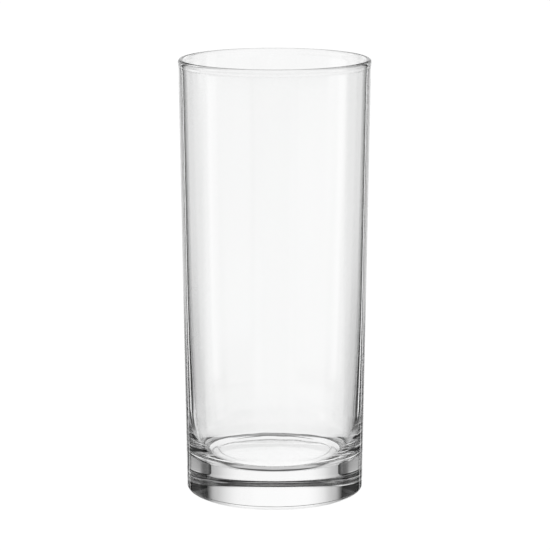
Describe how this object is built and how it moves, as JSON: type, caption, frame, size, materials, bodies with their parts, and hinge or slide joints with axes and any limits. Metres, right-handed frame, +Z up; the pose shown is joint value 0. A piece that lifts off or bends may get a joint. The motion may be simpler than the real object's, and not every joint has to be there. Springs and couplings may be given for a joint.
{
  "type": "collins glass",
  "caption": "Tall straight-sided clear drinking glass with a slight taper, thin wall, rounded rim and thick solid base, for long iced drinks.",
  "frame": {"origin": "centre of the flat ring the glass stands on, in the plane of the table", "axes": "+Z up along the axis the glass is turned about, from the base to the rim; X and Y are alike"},
  "size_m": [0.0654, 0.0654, 0.15],
  "materials": {
    "clear_glass": "clear, colourless, polished soda-lime glass"
  },
  "bodies": {
    "root": {"heavy_base": "clear_glass", "side_wall": "clear_glass", "rim_bead": "clear_glass"}
  },
  "joints": []
}
